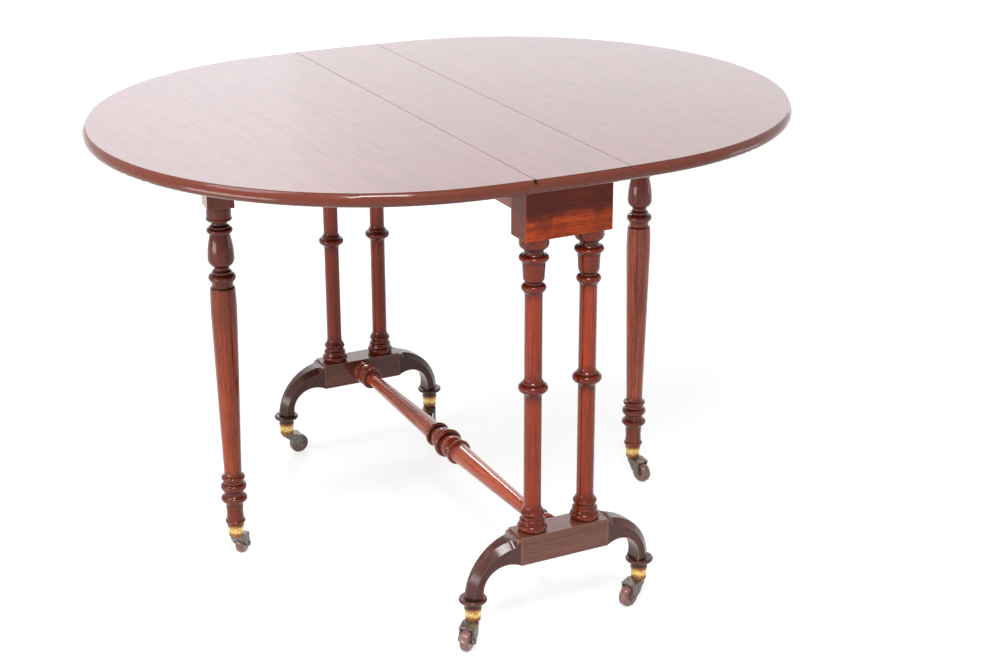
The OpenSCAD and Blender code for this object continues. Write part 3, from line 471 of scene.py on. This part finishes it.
# Hinges. Brass flaps let into the underside of the boards, three to each fold. Countersunk
# slotted screws hold them.
dull_brass = worn_metal("dull_brass", (0.58, 0.40, 0.17), (0.16, 0.10, 0.05), 1.0, 0.32, 0.6)
for node in ("hinge_flaps_fixed", "hinge_flaps_leaf_left", "hinge_flaps_leaf_right"):
    polish(node, dull_brass)


# Hinge screws. Countersunk slotted steel screws, three in each flap, turned in by hand so that
# no two slots lie alike. They lie flush with the flaps.
HINGE_PLACES = (-0.262, 0.0, 0.262)
FLAP_FACE = 0.69015
HEAD_RADIUS = 0.00315
NECK_RADIUS = 0.0016
HEAD_DEPTH = 0.0017
SLOT_SIZE = (0.0009, 0.008, 0.0013)
OUTER_SCREW = 0.012667
SCREW_PLACES = ((-OUTER_SCREW, 0.022, 0.038), (0.0, 0.014, 0.030), (OUTER_SCREW, 0.022, 0.038))
bpy.ops.object.select_all(action="DESELECT")
bpy.ops.mesh.primitive_cone_add(
    vertices=28, radius1=HEAD_RADIUS, radius2=NECK_RADIUS, depth=HEAD_DEPTH, location=(0, 0, HEAD_DEPTH / 2)
)
first_screw = bpy.context.object
bpy.ops.object.transform_apply(location=True)
bpy.ops.mesh.primitive_cube_add(size=1, location=(0, 0, 0), scale=SLOT_SIZE)
slot_cutter = bpy.context.object
bpy.ops.object.transform_apply(location=True, scale=True)
cut = first_screw.modifiers.new("slot", "BOOLEAN")
cut.operation = "DIFFERENCE"
cut.object = slot_cutter
bpy.context.view_layer.objects.active = first_screw
bpy.ops.object.modifier_apply(modifier=cut.name)
bpy.data.objects.remove(slot_cutter, do_unlink=True)


def screw_set(name, body, places):
    """Copies of the first screw at the places given, joined to one piece."""
    bpy.ops.object.select_all(action="DESELECT")
    for number, (x, y) in enumerate(places):
        screw = first_screw.copy()
        screw.data = first_screw.data.copy()
        bpy.context.collection.objects.link(screw)
        turned = Matrix.Translation((x, y, FLAP_FACE)) @ Matrix.Rotation(1.9 * number + 0.4, 4, "Z")
        screw.data.transform(turned)
        screw.select_set(True)
        if number == 0:
            bpy.context.view_layer.objects.active = screw
    bpy.ops.object.join()
    piece = bpy.context.object
    piece.name = name
    piece.data.materials.append(steel)
    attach(piece, body)


for side, way in (("left", -1), ("right", 1)):
    fixed, moving = [], []
    for y in HINGE_PLACES:
        for along, inset, outset in SCREW_PLACES:
            fixed.append((way * (FOLD_X - inset), y + along))
            moving.append((way * (FOLD_X + outset), y + along))
    screw_set("hinge_screws_fixed_" + side, "frame", fixed)
    screw_set("hinge_screws_leaf_" + side, "leaf_" + side, moving)
bpy.data.objects.remove(first_screw, do_unlink=True)


# Caster cups. Turned brass ferrules driven over the toes and held by two brass pins, bright
# where hands and cloths reach and brown in the grooves.
LEGS = ("near_left", "near_right", "far_left", "far_right", "gate_left", "gate_right")
CUP_BRIGHT_BAND = (0.052, 0.0025)
PIN_HEIGHT = 0.0535
PIN_RADIUS = 0.0017
PIN_OFFSET = 0.01185
cup_brass = worn_metal(
    "gold_brass", (0.92, 0.65, 0.23), (0.26, 0.115, 0.04), 1.0, 0.24, 0.45, band=CUP_BRIGHT_BAND
)
for leg in LEGS:
    polish("cup_" + leg, cup_brass)
    low, high = (Vector(corner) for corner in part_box("cup_" + leg))
    centre = (low + high) / 2
    for side, way in (("front", -1), ("back", 1)):
        bpy.ops.object.select_all(action="DESELECT")
        bpy.ops.mesh.primitive_uv_sphere_add(
            segments=20, ring_count=10, radius=PIN_RADIUS,
            location=(centre.x, centre.y + way * PIN_OFFSET, PIN_HEIGHT), scale=(1, 0.45, 1)
        )
        pin = bpy.context.object
        bpy.ops.object.transform_apply(location=True, rotation=True, scale=True)
        bpy.ops.object.shade_smooth_by_angle(angle=math.radians(40))
        pin.name = "cup_pin_{}_{}".format(leg, side)
        pin.data.materials.append(dull_brass)
        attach(pin, body_with["cup_" + leg])


# Horns and axles. Cast iron forks, dark with age, that swivel in the cups. The axles are
# riveted over.
HORN_ARRIS = 0.0006
iron = worn_metal("dark_iron", (0.205, 0.175, 0.155), (0.06, 0.045, 0.036), 0.7, 0.34, 0.6)
for leg in LEGS:
    finished("horn_" + leg, iron, HORN_ARRIS)
    polish("axle_" + leg, iron)


# Wheels. Brown glazed china, pressed and fired, worn dull along the tread. Each turns on the
# axle between the cheeks of its horn.
china = worn_metal("brown_china", (0.32, 0.155, 0.13), (0.16, 0.070, 0.056), 0.0, 0.10, 0.25)
for leg in LEGS:
    polish("wheel_" + leg, china)


# Floor and studio. A pale floor that runs out into white, a large soft lamp at the left front,
# and a wide soft panel behind the table that the polished top mirrors. The side panels stay
# below the height of the top, which would mirror them as white patches.
FLOOR_SIZE = 30
FLOOR_GREY = 0.55
FLOOR_FADE = (1.0, 5.0)
FLOOR_LIFT = (0.72, 0.93)
bpy.ops.mesh.primitive_plane_add(size=FLOOR_SIZE)
floor = bpy.context.object
floor.name = "floor"
floor_paint = bpy.data.materials.new("floor_paint")
floor_paint.use_nodes = True
tree = floor_paint.node_tree
paint = tree.nodes["Principled BSDF"]
paint.inputs["Base Color"].default_value = (FLOOR_GREY, FLOOR_GREY, FLOOR_GREY, 1)
paint.inputs["Roughness"].default_value = 0.9
paint.inputs["Specular IOR Level"].default_value = 0.0
paint.inputs["Emission Color"].default_value = (1, 1, 1, 1)
rays = tree.nodes.new("ShaderNodeLightPath")
seen = calculate(tree, "MAXIMUM", rays.outputs["Is Camera Ray"], rays.outputs["Is Glossy Ray"])
spot = tree.nodes.new("ShaderNodeTexCoord")
reach = tree.nodes.new("ShaderNodeVectorMath")
reach.operation = "LENGTH"
tree.links.new(spot.outputs["Object"], reach.inputs[0])
lift = ramp(tree, reach.outputs["Value"], *FLOOR_FADE, *FLOOR_LIFT, smooth=True)
tree.links.new(calculate(tree, "MULTIPLY", seen, lift), paint.inputs["Emission Strength"])
floor.data.materials.append(floor_paint)

DIFFUSE_SKY = 0.22
world = bpy.data.worlds.new("white_studio")
bpy.context.scene.world = world
world.use_nodes = True
tree = world.node_tree
sky = tree.nodes["Background"]
sky.inputs["Color"].default_value = (1, 1, 1, 1)
rays = tree.nodes.new("ShaderNodeLightPath")
mirrored = calculate(tree, "MAXIMUM", rays.outputs["Is Camera Ray"], rays.outputs["Is Glossy Ray"])
clear = calculate(tree, "MAXIMUM", mirrored, rays.outputs["Is Transmission Ray"])
tree.links.new(ramp(tree, clear, 0.0, 1.0, DIFFUSE_SKY, 1.0), sky.inputs["Strength"])


def soft_lamp(name, place, aim, width, height, power, tint=(1.0, 1.0, 1.0)):
    """A rectangular soft lamp that points at a place."""
    direction = Vector(aim) - Vector(place)
    bpy.ops.object.light_add(
        type="AREA", location=place, rotation=direction.to_track_quat("-Z", "Y").to_euler()
    )
    lamp = bpy.context.object
    lamp.name = name
    lamp.data.shape = "RECTANGLE"
    lamp.data.size = width
    lamp.data.size_y = height
    lamp.data.energy = power
    lamp.data.color = tint
    lamp.visible_camera = False


soft_lamp("front_lamp", (-1.3, -2.6, 3.9), (0, 0, 0.4), 1.3, 1.3, 150)
soft_lamp("side_panel", (-3.2, -0.7, 0.38), (0, 0, 0.35), 2.0, 0.6, 34)
soft_lamp("right_panel", (3.2, -1.0, 0.34), (0, 0, 0.35), 1.0, 0.6, 5)
soft_lamp("high_panel", (-2.2, 0.1, 4.0), (0, 0, 0.3), 1.4, 2.2, 60, (0.86, 0.92, 1.0))
soft_lamp("back_panel", (2.4, 4.6, 2.3), (0, 0, 0.7), 7.0, 3.6, 68, (0.88, 0.93, 1.0))
soft_lamp("left_window", (0.75, 4.7, 1.95), (-0.3, 0, 0.7), 1.5, 0.6, 0.5, (0.72, 0.80, 1.0))
soft_lamp("stretcher_lamp", (0.90, 4.0, 3.1), (0, 0, 0.15), 1.1, 0.9, 52)

CAMERA_PLACE = (-1.21068, -2.55287, 1.41395)
CAMERA_AZIMUTH = -27.09
CAMERA_ELEVATION = 20.93
CAMERA_LENS = 68.225
bpy.ops.object.camera_add(
    location=CAMERA_PLACE, rotation=(math.radians(90 - CAMERA_ELEVATION), 0, math.radians(CAMERA_AZIMUTH))
)
camera = bpy.context.object
camera.data.sensor_width = 36
camera.data.lens = CAMERA_LENS
camera.data.clip_end = 100
bpy.context.scene.camera = camera
bpy.context.scene.view_settings.view_transform = "Standard"
